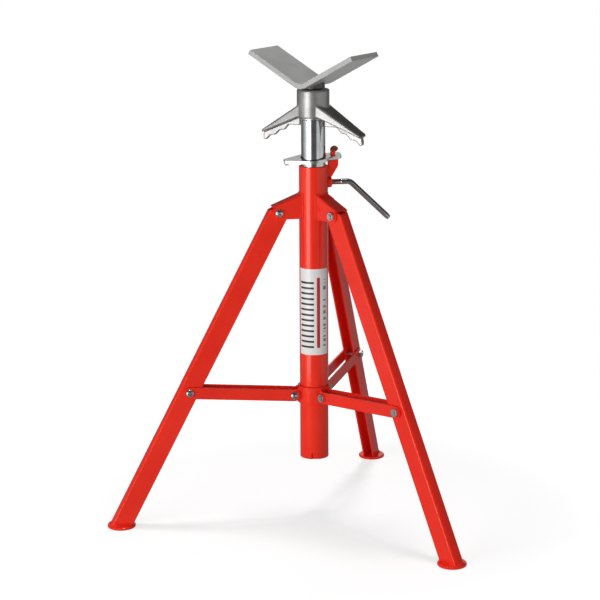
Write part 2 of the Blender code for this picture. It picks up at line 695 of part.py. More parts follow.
def make_lever():
    axis = pivot("clamp_axis", (0, 0, CLAMP_HEIGHT))
    start = POST_RADIUS + SEAT_GAP
    tangent = LEVER_BEND_RADIUS * tan(LEVER_BEND_ANGLE / 2)
    centre = (LEVER_BEND_START - tangent, -LEVER_BEND_RADIUS)
    bend = arc(centre, LEVER_BEND_RADIUS, pi / 2, pi / 2 - LEVER_BEND_ANGLE, BEND_PIECES)
    run = LEVER_TAIL - tangent
    tip = (bend[-1][0] + run * cos(LEVER_BEND_ANGLE), bend[-1][1] - run * sin(LEVER_BEND_ANGLE))
    line = [(start, 0), *bend, tip]
    shape = rod("clamp_lever", [(x, 0, z) for x, z in line], LEVER_RADIUS)
    lever = add("clamp_lever", shape, ZINC, axis)
    bevel(lever, LEVER_END_CHAMFER)
    return lever


def lock_outline():
    """The lock plate flat in X and Y from the column's axis: a ring, a toe and a tapering tail."""
    outer = LOCK_HOLE_RADIUS + LOCK_RING_WIDTH
    toe_join = asin(LOCK_TOE_HALF_WIDTH / outer)
    # the tail's edges touch the ring
    tail_length = hypot(LOCK_TAIL_REACH, LOCK_TAIL_HALF_WIDTH)
    tail_join = pi - asin(LOCK_TAIL_HALF_WIDTH / tail_length) - acos(outer / tail_length)
    corner_x = LOCK_TOE_REACH - LOCK_TOE_CORNER
    corner_y = LOCK_TOE_HALF_WIDTH - LOCK_TOE_CORNER
    return [
        *arc((corner_x, -corner_y), LOCK_TOE_CORNER, -pi / 2, 0, BEND_PIECES),
        *arc((corner_x, corner_y), LOCK_TOE_CORNER, 0, pi / 2, BEND_PIECES),
        *arc((0, 0), outer, toe_join, tail_join, LOCK_RING_PIECES),
        (-LOCK_TAIL_REACH, LOCK_TAIL_HALF_WIDTH),
        (-LOCK_TAIL_REACH, -LOCK_TAIL_HALF_WIDTH),
        *arc((0, 0), outer, -tail_join, -toe_join, LOCK_RING_PIECES),
    ]


def make_lock_plate():
    axis = pivot("lock_axis", (LOCK_PIVOT_RADIUS, 0, LOCK_PIVOT_HEIGHT))
    slot_inner = HOOK_NECK_INNER - LOCK_SLOT_CLEARANCE
    slot_outer = HOOK_NECK_OUTER + LOCK_SLOT_CLEARANCE
    slot_half = HOOK_SHEET / 2 + LOCK_SLOT_CLEARANCE
    slot = [
        (slot_inner, -slot_half),
        (slot_outer, -slot_half),
        (slot_outer, slot_half),
        (slot_inner, slot_half),
    ]
    hole = circle((0, 0), LOCK_HOLE_RADIUS, TUBE_SIDES)
    plate = flat("lock_plate", [lock_outline(), hole, slot], 0, LOCK_SHEET, upright=False)
    # at rest the tail hangs lower than the toe, and one side lower than the other
    lean = Matrix.Rotation(-LOCK_TILT, 4, "Y") @ Matrix.Rotation(LOCK_ROLL, 4, "X")
    lay = lean @ Matrix.Translation((-LOCK_PIVOT_RADIUS, 0, 0))
    plate.transform(lay)
    item = add("lock_plate", plate, ZINC, axis)
    low = (-LOCK_TAIL_REACH + LOCK_EDGE, -LOCK_TAIL_HALF_WIDTH + LOCK_EDGE, LOCK_SHEET - LOCK_TAIL_DROP)
    high = (-LOCK_TAIL_REACH + LOCK_TAIL_LIP, LOCK_TAIL_HALF_WIDTH - LOCK_EDGE, LOCK_SHEET / 2)
    tail = box("lock_tail", low, high)
    tail.transform(lay)
    boolean(item, add_cutter("lock_tail", tail, axis), "UNION")
    return item


def make_hook():
    """The hook in X and Z: a foot on the tube, a belly, two shoulders, a neck and a leaning head."""
    root = TUBE_RADIUS - CUT_OVERRUN / 2
    inner = TUBE_RADIUS + HOOK_STAND_OFF
    # the shoulders follow the underside of the plate at its lower side
    shoulder = LOCK_PIVOT_HEIGHT - HOOK_SHEET / 2 * tan(LOCK_ROLL) - SEAT_GAP
    fall = tan(LOCK_TILT)
    belly = TUBE_TOP - HOOK_BELLY_DROP
    weld_top = TUBE_TOP - HOOK_WELD_DROP
    head_height = LOCK_PIVOT_HEIGHT + HOOK_HEAD_RISE
    head = []
    for x, z in arc((0, 0), 1, -pi / 2 + HOOK_HEAD_LEAN, 3 * pi / 2 - 3 * HOOK_HEAD_LEAN, EYE_PIECES):
        head.append((x * HOOK_HEAD_LENGTH, z * HOOK_HEAD_THICKNESS))
    head = [(x + HOOK_HEAD_RADIUS, z + head_height) for x, z in turn(head, HOOK_HEAD_LEAN)]
    neck_top = head_height - HOOK_HEAD_THICKNESS
    outline = [
        (root, HOOK_FOOT_HEIGHT),
        (HOOK_FOOT_REACH, HOOK_FOOT_HEIGHT),
        (LOCK_PIVOT_RADIUS - HOOK_EDGE, belly),
        (LOCK_PIVOT_RADIUS, belly + 2 * HOOK_EDGE),
        (LOCK_PIVOT_RADIUS, shoulder),
        (HOOK_NECK_OUTER, shoulder - (LOCK_PIVOT_RADIUS - HOOK_NECK_OUTER) * fall),
        (HOOK_NECK_OUTER, neck_top),
        *head,
        (HOOK_NECK_INNER, neck_top),
        (HOOK_NECK_INNER, shoulder - (LOCK_PIVOT_RADIUS - HOOK_NECK_INNER) * fall),
        (inner, shoulder - (LOCK_PIVOT_RADIUS - inner) * fall),
        (inner, weld_top),
        (root, weld_top),
    ]
    hook = add("lock_hook", flat("lock_hook", [outline], -HOOK_SHEET / 2, HOOK_SHEET / 2), RED)
    bevel(hook, HOOK_EDGE, 1, radians(60))
    column = cylinder("hook_seat", WELD_RADIUS, TUBE_BOTTOM, TUBE_TOP + CUT_OVERRUN, TUBE_SIDES)
    boolean(hook, add_cutter("hook_seat", column))
    return hook


# Jack
def make_post():
    axis = pivot("post_axis", (0, 0, 0))
    bore = POST_RADIUS - POST_WALL
    ring = ring_profile(bore, POST_RADIUS, POST_BOTTOM, POST_TOP, TUBE_RIM_CHAMFER)
    turned(add("post", profile_mesh("post", ring, True), ZINC, axis), TUBE_SIDES)
    washer_top = WASHER_BOTTOM + WASHER_THICKNESS
    washer = [
        (bore, washer_top),
        (WASHER_RADIUS, washer_top),
        (WASHER_RADIUS, WASHER_BOTTOM),
        (bore, WASHER_BOTTOM),
    ]
    turned(add("thrust_washer", profile_mesh("thrust_washer", washer, True), ZINC, axis), TUBE_SIDES)
    return axis


def arm_slab(name):
    """The arm's upper plate: as wide as the hub at its root, narrower and thinner at its tip."""
    mesh = bpy.data.meshes.new(name)
    shape = bmesh.new()
    bmesh.ops.create_cube(shape, size=2)
    fall = tan(ARM_DROOP)
    tip_top = HUB_TOP - ARM_TOP_BELOW_HUB - (ARM_REACH - HUB_RADIUS) * fall
    root_top = HUB_TOP - ARM_TOP_BELOW_HUB + (HUB_RADIUS - ARM_ROOT) * fall
    for corner in shape.verts:
        outer = corner.co.x > 0
        width = ARM_TIP_HALF_WIDTH if outer else ARM_ROOT_HALF_WIDTH
        top = tip_top if outer else root_top
        thickness = ARM_TIP_THICKNESS if outer else ARM_ROOT_THICKNESS
        corner.co.x = ARM_REACH if outer else ARM_ROOT
        corner.co.y = width if corner.co.y > 0 else -width
        corner.co.z = top if corner.co.z > 0 else top - thickness
    long_edges = [e for e in shape.edges if abs(e.verts[0].co.x - e.verts[1].co.x) > ARM_ROOT]
    tip_edges = [e for e in shape.edges if min(v.co.x for v in e.verts) > HUB_RADIUS]
    bmesh.ops.bevel(shape, geom=long_edges + tip_edges, offset=ARM_EDGE, segments=1, affect="EDGES")
    shape.to_mesh(mesh)
    shape.free()
    return mesh


def arm_rib(name):
    """The rib under an arm, its lower edge waved as a finger grip."""
    inner = POST_RADIUS + RIB_POST_GAP
    flat_low = HUB_BOTTOM - RIB_BELOW_HUB
    under_top = ARM_TIP_THICKNESS / 2
    fall = tan(ARM_DROOP)

    def top(x):
        return HUB_TOP - ARM_TOP_BELOW_HUB - (x - HUB_RADIUS) * fall - under_top

    wave = []
    steps = WAVE_PIECES * (RIB_BUMPS - 1)
    span = RIB_BUMP_PITCH * (RIB_BUMPS - 1)
    for i in range(steps + 1):
        x = RIB_FIRST_BUMP + span * i / steps
        line = HUB_BOTTOM - RIB_FIRST_BUMP_DROP - (x - RIB_FIRST_BUMP) * tan(RIB_SLOPE)
        lift = RIB_SCALLOP * (1 - cos(2 * pi * (RIB_BUMPS - 1) * i / steps)) / 2
        wave.append((x, line + lift))
    nose_x, nose_z = wave[-1]
    outline = [
        (inner, top(inner)),
        (inner, flat_low),
        (RIB_FLAT_END, flat_low),
        *wave,
        *arc((nose_x, nose_z + RIB_NOSE), RIB_NOSE, -pi / 3, 0, BEND_PIECES),
        (nose_x + RIB_NOSE / 2, top(nose_x + RIB_NOSE / 2)),
    ]
    return flat(name, [outline], -RIB_THICKNESS / 2, RIB_THICKNESS / 2)


def make_wing_nut(axis):
    inner = SCREW_RADIUS + SCREW_CLEARANCE
    profile = [
        (inner, HUB_TOP),
        (HUB_RADIUS - HUB_CHAMFER, HUB_TOP),
        (HUB_RADIUS, HUB_TOP - HUB_CHAMFER),
        (HUB_RADIUS, HUB_BOTTOM + HUB_CHAMFER),
        (HUB_RADIUS - HUB_CHAMFER, HUB_BOTTOM),
        (SPIGOT_RADIUS, HUB_BOTTOM),
        (SPIGOT_RADIUS, HUB_BOTTOM - SPIGOT_LENGTH),
        (inner, HUB_BOTTOM - SPIGOT_LENGTH),
    ]
    nut = turned(add("wing_nut", profile_mesh("wing_nut", profile, True), CAST, axis), TUBE_SIDES)
    for number in range(2):
        azimuth = ARM_AZIMUTH + pi * number
        for kind, mesh in (("slab", arm_slab("arm_slab")), ("rib", arm_rib("arm_rib"))):
            cutter = add_cutter(f"arm_{kind}_{number + 1}", mesh, axis, rotation=(0, 0, azimuth))
            boolean(nut, cutter, "UNION")
    return nut


def make_screw(axis):
    top = BOSS_BOTTOM - SEAT_GAP
    ring_top = SCREW_BOTTOM + SCREW_STOP_HEIGHT
    profile = [
        (0, top),
        (SCREW_RADIUS, top),
        (SCREW_RADIUS, ring_top),
        (SCREW_STOP_RADIUS, ring_top),
        (SCREW_STOP_RADIUS, SCREW_BOTTOM + SCREW_STOP_EDGE),
        (SCREW_STOP_RADIUS - SCREW_STOP_EDGE, SCREW_BOTTOM),
        (0, SCREW_BOTTOM),
    ]
    screw = add("jack_screw", profile_mesh("jack_screw", profile, False), STEEL, axis)
    return turned(screw, TUBE_SIDES)


# V head, drawn across the pipe's direction in X and Z and then turned
def v_line(radius, half_span):
    """A V's surface from tip to tip, its bend of this radius about the origin."""
    right = arc((0, 0), radius, -pi / 2, -pi / 2 + V_WING_ANGLE, BEND_PIECES)
    x, z = right[-1]
    right.append((half_span, z + (half_span - x) * tan(V_WING_ANGLE)))
    left = [(-x, z) for x, z in reversed(right[1:])]
    return left + right


def make_head(axis):
    across = (0, 0, HEAD_AZIMUTH + pi / 2)
    outer = V_BEND_RADIUS + V_SHEET
    centre = V_UNDERSIDE + outer
    upper = v_line(V_BEND_RADIUS, V_HALF_SPAN)
    lower = v_line(outer, V_HALF_SPAN + V_SHEET * sin(V_WING_ANGLE))
    section = [(x, z + centre) for x, z in upper + lower[::-1]]
    sheet = flat("v_plate", [section], -V_WIDTH / 2, V_WIDTH / 2)
    bevel(add("v_plate", sheet, STEEL, axis, rotation=across), V_EDGE, 1, radians(50))

    boss = add("v_boss", cylinder("v_boss", BOSS_RADIUS, BOSS_BOTTOM, centre, TUBE_SIDES), STEEL, axis)
    reach = BOSS_RADIUS + CUT_OVERRUN
    seat = [(x, z + centre) for x, z in v_line(outer + SEAT_GAP, reach)]
    seat += [(reach, centre + reach), (-reach, centre + reach)]
    saddle = flat("v_saddle", [seat], -reach, reach)
    boolean(boss, add_cutter("v_saddle", saddle, axis, rotation=across))


def build():
    make_tube()
    make_clamp()
    make_hook()
    make_lever()
    make_lock_plate()
    collar_centre = pivot("collar_axis", (0, 0, COLLAR_PIVOT_HEIGHT))
    make_collar(collar_centre)
    for side, azimuth in LEG_AZIMUTHS.items():
        across, along = cos(azimuth), sin(azimuth)
        hinge_place = (HINGE_RADIUS * across, HINGE_RADIUS * along, HINGE_HEIGHT)
        hinge = pivot(f"hinge_{side}", hinge_place, azimuth)
        make_bracket(side, hinge)
        make_leg(side, hinge)
        make_foot(side, hinge)
        make_hinge_fasteners(side, hinge)
        make_leg_pin(side, hinge)
        brace_place = (COLLAR_PIVOT_RADIUS * across, COLLAR_PIVOT_RADIUS * along, 0)
        make_brace(side, pivot(f"brace_axis_{side}", brace_place, azimuth, collar_centre))
        make_collar_fasteners(side, collar_centre, azimuth)
    post_axis = make_post()
    make_wing_nut(pivot("nut_axis", (0, 0, 0), parent=post_axis))
    head_axis = pivot("head_axis", (0, 0, 0), parent=post_axis)
    make_screw(head_axis)
    make_head(head_axis)


build()
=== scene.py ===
"""A folding pipe jack stand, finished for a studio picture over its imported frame. Metres, +Z up."""

from math import atan2, cos, pi, radians, sin, tan

import bmesh
import bpy
import numpy as np
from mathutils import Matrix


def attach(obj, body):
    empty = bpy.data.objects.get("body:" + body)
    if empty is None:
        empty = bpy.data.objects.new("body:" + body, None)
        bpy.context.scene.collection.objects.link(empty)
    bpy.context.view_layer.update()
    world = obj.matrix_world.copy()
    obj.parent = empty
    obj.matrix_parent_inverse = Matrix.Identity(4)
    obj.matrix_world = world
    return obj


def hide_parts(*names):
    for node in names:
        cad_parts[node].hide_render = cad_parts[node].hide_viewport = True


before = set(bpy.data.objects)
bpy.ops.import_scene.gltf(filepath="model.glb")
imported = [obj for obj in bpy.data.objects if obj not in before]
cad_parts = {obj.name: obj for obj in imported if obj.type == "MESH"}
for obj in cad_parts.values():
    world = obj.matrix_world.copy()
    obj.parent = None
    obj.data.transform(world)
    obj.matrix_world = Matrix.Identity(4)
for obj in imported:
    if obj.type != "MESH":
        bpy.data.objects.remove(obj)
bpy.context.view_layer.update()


# Base tube. A length of welded steel pipe, powder coated orange-red. Three tabs are sheared and
# pressed in at its lower end, so that the post can't drop through.
TUBE_RADIUS = 0.02415
TUBE_BORE = 0.02095
TUBE_TOP = 0.6071
TUBE_BOTTOM = 0.1044
TUBE_SIDES = 144
TUBE_RIM = 0.0008
TAB_AZIMUTH = radians(-97)
TAB_HALF_WIDTH = 0.0055
TAB_HEIGHT = 0.0110
TAB_SET_IN = 0.0016
SHEAR_WIDTH = 0.0011
SHEAR_DEPTH = 0.0026
PAINT_RED = (0.92, 0.028, 0.016)
PAINT_DEEP = (0.84, 0.020, 0.013)
PAINT_DARKENED = (0.15, 0.030, 0.014)
PAINT_GLOSS = (1.0, 0.55, 0.10, 1)


class Shade:
    """A shader socket that takes part in arithmetic: + - * / on it add Math nodes to its tree."""

    def __init__(self, tree, socket=None):
        self.tree = tree
        self.socket = socket

    def node(self, kind, settings=None, sockets=None, out=0):
        """Adds a node: its settings first, then values or links on its sockets. Gives one output."""
        new = self.tree.nodes.new("ShaderNode" + kind)
        for name, value in (settings or {}).items():
            if name == "stops":
                for place, colour in value[2:]:
                    new.color_ramp.elements.new(place)
                for element, (place, colour) in zip(new.color_ramp.elements, value):
                    element.position = place
                    element.color = (*colour, 1)
            else:
                setattr(new, name, value)
        for name, value in (sockets or {}).items():
            if isinstance(value, Shade):
                self.tree.links.new(value.socket, new.inputs[name])
            else:
                new.inputs[name].default_value = value
        return Shade(self.tree, new.outputs[out])

    def output(self, name):
        """Another output of the node that this one comes from."""
        return Shade(self.tree, self.socket.node.outputs[name])

    def math(self, operation, *values):
        return self.node("Math", {"operation": operation}, dict(enumerate(values)))

    def __add__(self, other):
        return self.math("ADD", self, other)

    def __sub__(self, other):
        return self.math("SUBTRACT", self, other)

    def __rsub__(self, other):
        return self.math("SUBTRACT", other, self)

    def __mul__(self, other):
        return self.math("MULTIPLY", self, other)

    def __truediv__(self, other):
        return self.math("DIVIDE", self, other)

    __radd__ = __add__
    __rmul__ = __mul__

    def band(self, low, high):
        """A smooth step from 0 at low to 1 at high, or from 1 to 0 where low is the larger."""
        sockets = {"Value": self, 1: low, 2: high, 3: 0.0, 4: 1.0}
        if low > high:
            sockets = {"Value": self, 1: high, 2: low, 3: 1.0, 4: 0.0}
        return self.node("MapRange", {"interpolation_type": "SMOOTHSTEP"}, sockets)

    def blend(self, first, second):
        """A colour that goes from first to second as this value goes from 0 to 1."""
        sockets = {0: self, 6: colour4(first), 7: colour4(second)}
        return self.node("Mix", {"data_type": "RGBA"}, sockets, out=2)

    def grain(self, scale, detail=2.0, roughness=0.5, stretch=None):
        """Noise over this vector, from 0 to 1, its scale in waves to a metre."""
        place = self
        if stretch:
            place = self.node("Mapping", {"vector_type": "POINT"}, {"Vector": self, "Scale": stretch})
        sockets = {"Vector": place, "Scale": scale, "Detail": detail, "Roughness": roughness}
        return self.node("TexNoise", {"noise_dimensions": "3D"}, sockets)

    def bump(self, depth, strength):
        """A normal from this height, its full depth in metres."""
        return self.node("Bump", {}, {"Strength": strength, "Distance": depth, "Height": self})


def colour4(colour):
    """A colour with its alpha, or a socket as it is."""
    return colour if isinstance(colour, Shade) else (*colour, 1)


def finish(name):
    """A new material, its tree, its Principled node, and Object coordinates to start expressions from."""
    material = bpy.data.materials.new(name)
    material.use_nodes = True
    tree = material.node_tree
    shader = tree.nodes["Principled BSDF"]
    place = Shade(tree).node("TexCoord").output("Object")
    return material, tree, shader, place


def wire(tree, shader, **sockets):
    """Sets sockets of a Principled node, spaces in their names written as underscores."""
    for name, value in sockets.items():
        socket = shader.inputs[name.replace("_", " ")]
        if isinstance(value, Shade):
            tree.links.new(value.socket, socket)
        else:
            socket.default_value = value


def powder_coat(name, darkened_above=None):
    """Orange-red powder coat: an even colour with faint clouding, and a fine orange peel in its gloss.
    Above a given height it turns dark brown in noise patches."""
    material, tree, shader, place = finish(name)
    cloud = place.grain(scale=14, detail=3)
    peel = place.grain(scale=620, detail=1)
    colour = cloud.band(0.25, 0.8).blend(PAINT_DEEP, PAINT_RED)
    # Above the given height, the colour goes dark brown in noise patches on the hook's head.
    if darkened_above:
        height = place.node("SeparateXYZ", {}, {"Vector": place}).output("Z")
        darkening_edge = 0.003
        patches = place.grain(scale=240, detail=2).band(0.22, 0.5)
        darkening = height.band(darkened_above - darkening_edge, darkened_above + darkening_edge) * patches
        colour = darkening.blend(colour, PAINT_DARKENED)
    wire(tree, shader, Base_Color=colour)
    wire(tree, shader, Roughness=0.34 + cloud * 0.10, Normal=peel.bump(depth=0.00005, strength=0.3))
    wire(tree, shader, Specular_IOR_Level=0.45, Specular_Tint=PAINT_GLOSS)
    wire(tree, shader, Coat_Weight=0.55, Coat_Roughness=0.12)
    return material


def skin(name, grid, rows_close=False):
    """Joins a grid of points, rows by columns by 3, into quads, each row a closed ring, and merges the
    points of a row that falls on an axis. Its normals are turned outward."""
    rows, columns = grid.shape[:2]
    row = np.arange(rows if rows_close else rows - 1)[:, None]
    column = np.arange(columns)[None, :]
    below, beside = (row + 1) % rows, (column + 1) % columns
    corners = [row * columns + column, row * columns + beside,
               below * columns + beside, below * columns + column]
    mesh = bpy.data.meshes.new(name)
    mesh.from_pydata(grid.reshape(-1, 3).tolist(), [], np.stack(corners, -1).reshape(-1, 4).tolist())
    return settle(bpy.data.objects.new(name, mesh))


def settle(piece, merge=2e-6, sharp=35):
    """Merges a piece's doubled points, turns its normals outward, and smooths all but its sharp edges."""
    shape = bmesh.new()
    shape.from_mesh(piece.data)
    bmesh.ops.remove_doubles(shape, verts=shape.verts, dist=merge)
    bmesh.ops.dissolve_degenerate(shape, edges=shape.edges, dist=merge / 10)
    bmesh.ops.recalc_face_normals(shape, faces=shape.faces)
    shape.to_mesh(piece.data)
    shape.free()
    piece.data.shade_smooth()
    piece.data.set_sharp_from_angle(angle=radians(sharp))
    bpy.context.scene.collection.objects.link(piece)
    return piece


def polar(r, a, h):
    """Points on a grid from radius, angle and height: x = r cos a, y = r sin a, z = h."""
    return np.stack([r * np.cos(a), r * np.sin(a), h + 0 * a], -1)


def around(sides):
    """Angles once round, in one row for a grid."""
    return np.linspace(0, 2 * pi, sides, endpoint=False)[None, :]


def carry(piece, body, material, slot, *nodes):
    """Puts a finished piece on its body, in its material, in place of CAD nodes where some are named."""
    piece.data.materials.clear()
    piece.data.materials.append(material)
    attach(piece, body)
    if nodes:
        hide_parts(*nodes)


def tube_angles():
    """Angles round the tube, with finer steps across its three tabs."""
    reach, step, decimals = 0.0085, 0.00035, 6
    fine = np.arange(-reach, reach + 0.00001, step) / TUBE_RADIUS
    tabs = [(TAB_AZIMUTH + 2 * pi * k / 3 + fine) % (2 * pi) for k in range(3)]
    return np.unique(np.round(np.concatenate([around(TUBE_SIDES)[0], *tabs]), decimals))[None, :]


def tube_heights():
    """Heights and radii of the wall's rows: up the outside, in fine steps along the tabs, over a rim
    that is a quarter of a circle, and down the bore."""
    tab_zone, tab_row, plain_start, plain_rows, bore_row = 0.0165, 0.0004, 0.018, 24, 0.02
    low = np.arange(TUBE_BOTTOM, TUBE_BOTTOM + tab_zone, tab_row)
    high = np.linspace(TUBE_BOTTOM + plain_start, TUBE_TOP - 0.001, plain_rows)
    rim = TUBE_RIM * np.sin(np.linspace(0, pi / 2, 4))
    outer_h = np.concatenate([low, high, TUBE_TOP - TUBE_RIM + rim])
    plain_r = np.full(len(low) + len(high), TUBE_RADIUS)
    outer_r = np.concatenate([plain_r, TUBE_RADIUS - TUBE_RIM + rim[::-1]])
    inner_h = np.concatenate([low, [TUBE_TOP - bore_row, TUBE_TOP]])[::-1]
    inner_r = np.full(len(inner_h), TUBE_BORE)
    return np.concatenate([outer_h, inner_h])[:, None], np.concatenate([outer_r, inner_r])[:, None]


def tube_wall():
    """The tube as a closed wall: radius is a function of angle and height. A tab's set-in grows
    downward from its bend, and a sheared line is a V-shaped groove in the outside, beside the tab."""
    a = tube_angles()
    h, r = tube_heights()
    third = 2 * pi / 3
    off = np.abs((a - TAB_AZIMUTH + third / 2) % third - third / 2) * TUBE_RADIUS
    up = h - TUBE_BOTTOM
    side, bend, lean, shear_end = 0.0004, 0.0035, 0.006, 0.0008
    tab = np.clip((TAB_HALF_WIDTH - off) / side, 0, 1) * np.clip((TAB_HEIGHT + 0.002 - up) / bend, 0, 1)
    leaning = np.clip((TAB_HEIGHT + 0.003 - up) / lean, 0.35, 1)
    half = SHEAR_WIDTH / 2
    shear = np.clip(1 - np.abs(off - TAB_HALF_WIDTH - half) / half, 0, 1)
    shear = shear * np.clip((TAB_HEIGHT - up) / shear_end, 0, 1)
    depth = TAB_SET_IN * tab * leaning + SHEAR_DEPTH * shear * (r > TUBE_BORE)
    return skin("tube", polar(r - depth, a, h), rows_close=True)


RED = powder_coat("orange_red_powder_coat")
carry(tube_wall(), "stand", RED, "red_paint", "base_tube")


# Label. Thin coated paper stuck round the front of the tube, white with a red line and plain bars,
# and a column of small plain marks.
LABEL_LOW = 0.2883
LABEL_HIGH = 0.4360
LABEL_START = radians(-168)
LABEL_END = radians(-36)
LABEL_STEPS = 73
LABEL_PAPER = 0.00012
LABEL_GLUE = 0.00004
LABEL_EDGE = 0.0002
PRINT_FOOT = 0.3005
PRINT_HEAD = 0.4215
BARS_HEAD = 0.4190
BAR_HALF_PITCH = 0.0046
BAR_EDGE = (0.0027, 0.0031)
LINE_ANGLES = radians(-89.2), radians(-76)
BAR_ANGLES = radians(-161), radians(-101)
MARK_ANGLES = radians(-61), radians(-47)
PAPER_WHITE = (0.80, 0.80, 0.79)
PRINT_RED = (0.52, 0.020, 0.022)
PRINT_BLACK = (0.018, 0.018, 0.020)


def label_paper():
    """A thin closed wall round part of the tube: an arc out at the paper's face and back at its glue,
    carried up in height, the ends and edges meeting half way through the paper."""
    a = np.linspace(LABEL_START, LABEL_END, LABEL_STEPS)
    a = np.concatenate([a, a[::-1]])[None, :]
    h = np.array([LABEL_LOW, LABEL_LOW + LABEL_EDGE, LABEL_HIGH - LABEL_EDGE, LABEL_HIGH])[:, None]
    face = np.repeat([1.0, 0.0], LABEL_STEPS)[None, :]
    face[0, [0, LABEL_STEPS - 1, LABEL_STEPS, -1]] = 0.5
    face = np.where((h == LABEL_LOW) | (h == LABEL_HIGH), 0.5, face)
    return skin("label", polar(TUBE_RADIUS + LABEL_GLUE + LABEL_PAPER * face, a, h))


def window(value, rise, fall):
    """1 between two edges, 0 outside, with each edge a pair of values that a smooth step lies between."""
    return value.band(*rise) * value.band(fall[1], fall[0])


def within(value, low, high, soft):
    """1 where a value is between two limits, 0 outside, with edges this soft."""
    return window(value, (low - soft, low + soft), (high - soft, high + soft))


def printed_label(name):
    """Coated paper. The print is worked out from the angle round the tube and the height: a line is a
    band of angles, and bars are a triangle wave of the height, cut at a level."""
    material, tree, shader, place = finish(name)
    east = place.node("SeparateXYZ", {}, {"Vector": place})
    up = east.output("Z")
    angle = east.math("ARCTAN2", east.output("Y"), east)
    sharp, soft = 0.0002, 0.006
    line = within(angle, *LINE_ANGLES, soft) * within(up, PRINT_FOOT, PRINT_HEAD, sharp)
    rung = up.math("PINGPONG", up - LABEL_LOW, BAR_HALF_PITCH)
    bars = within(angle, *BAR_ANGLES, soft) * rung.band(*BAR_EDGE)
    bars = bars * within(up, PRINT_FOOT, BARS_HEAD, sharp)
    marks = place.grain(scale=190, detail=0, stretch=(0.02, 0.02, 1)).band(0.50, 0.56)
    marks = marks * within(angle, *MARK_ANGLES, 0.01)
    marks = marks * within(up, PRINT_FOOT, PRINT_HEAD, sharp)
    tone = line.blend(PAPER_WHITE, PRINT_RED)
    tone = bars.blend(tone, PRINT_BLACK)
    tone = (marks * 0.75).blend(tone, PRINT_BLACK)
    wire(tree, shader, Base_Color=tone, Roughness=0.30 + place.grain(scale=900) * 0.1)
    return material


carry(label_paper(), "stand", printed_label("printed_paper"), "red_paint")


# Hinge brackets, legs and feet. The brackets and legs are folded from 2.5 and 3 mm sheet, so every bend
# is round and every cut edge only slightly broken. A round plate foot is welded under each leg.
LEG_AZIMUTHS = {"left": pi, "front": -pi / 3, "rear": pi / 3}
FLAT_WITHIN = radians(0.6)


def dressed(node, edge=0.0004, pieces=2, sharp=30):
    """A copy of a CAD node as a maker would finish it: flat faces whole again, edges broken."""
    piece = bpy.data.objects.new(node + "_finished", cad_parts[node].data.copy())
    settle(piece, merge=1e-5, sharp=sharp)
    shape = bmesh.new()
    shape.from_mesh(piece.data)
    bmesh.ops.dissolve_limit(shape, angle_limit=FLAT_WITHIN, verts=shape.verts, edges=shape.edges)
    shape.to_mesh(piece.data)
    shape.free()
    piece.data.shade_smooth()
    piece.data.set_sharp_from_angle(angle=radians(sharp))
    if edge:
        step = piece.modifiers.new("broken_edges", "BEVEL")
        step.width = edge
        step.segments = pieces
        step.limit_method = "ANGLE"
        step.angle_limit = radians(sharp)
        step.harden_normals = True
    return piece


for side in LEG_AZIMUTHS:
    carry(dressed(f"bracket_{side}"), "stand", RED, "red_paint", f"bracket_{side}")
    carry(dressed(f"leg_{side}"), f"leg_{side}", RED, "red_paint", f"leg_{side}")
    carry(dressed(f"foot_{side}"), f"leg_{side}", RED, "red_paint", f"foot_{side}")


# Welds of the brackets on the tube and of the feet on the legs, painted with what they join. Each is
# a fillet laid down in short runs, so its bead ripples.
HINGE_RADIUS = 0.0599
HINGE_HEIGHT = 0.5311
BRACKET_HALF_WIDTH = 0.01305
BRACKET_SLOPE = radians(22.5)
BRACKET_RISE = 0.0136
BRACKET_FOOT = 0.0108
LEG_ANGLE = radians(27.5)
LEG_WEB = 0.0165
LEG_DEPTH = 0.0320
LEG_HALF_WIDTH = 0.01025
LEG_BEND = 0.002
FOOT_TOP = 0.0050
FOOT_BEAD_RAISE = 0.0003
BEAD_RADIUS = 0.0016
BEAD_RUN = 0.0017
BEAD_LEAN = 0.88
BEAD_SWELL = 0.2
BEAD_TAPER = 0.0015
BEAD_STEP = 0.0004
BEAD_SIDES = 12
SEAM_STEPS = 24


def weld(name, corners, radius=BEAD_RADIUS):
    """A bead along a path: a circle carried at right angles to it, its radius swelling once a run as
    the size of a sine, and falling to nothing at both ends as the root of the distance left."""
    corners = np.asarray(corners, float)
    steps = np.linalg.norm(np.diff(corners, axis=0), axis=1)
    along = np.concatenate([[0], np.cumsum(steps)])
    s = np.linspace(0, along[-1], int(along[-1] / BEAD_STEP) + 2)
    path = np.stack([np.interp(s, along, corners[:, k]) for k in range(3)], -1)
    forward = np.gradient(path, axis=0)
    forward /= np.linalg.norm(forward, axis=1, keepdims=True)
    off_every_path = (0.31, 0.52, 0.79)
    aside = np.cross(forward, off_every_path)
    aside /= np.linalg.norm(aside, axis=1, keepdims=True)
    beyond = np.cross(forward, aside)
    r = radius * (BEAD_LEAN + BEAD_SWELL * np.abs(np.sin(pi * s / BEAD_RUN)))
    r = r * np.sqrt(np.clip(np.minimum(s, along[-1] - s) / BEAD_TAPER, 0, 1))
    a = around(BEAD_SIDES)[:, :, None]
    ring = np.cos(a) * aside[:, None] + np.sin(a) * beyond[:, None]
    return skin(name, path[:, None] + r[:, None, None] * ring)


def placed(points, azimuth):
    """Points of a leg's own plane, outward, aside and up, turned to its azimuth a: x cos a - y sin a,
    x sin a + y cos a, z."""
    x, y, z = np.asarray(points, float).T
    turned_x = x * cos(azimuth) - y * sin(azimuth)
    turned_y = x * sin(azimuth) + y * cos(azimuth)
    return np.stack([turned_x, turned_y, z], -1)


def on_tube(y, z):
    """Where a line at y and z, outward from the column's axis, leaves the tube: x is the root of the
    tube's radius squared less y squared."""
    y = np.asarray(y, float)
    return np.stack([np.sqrt(TUBE_RADIUS ** 2 - y ** 2), y, z + 0 * y], -1)


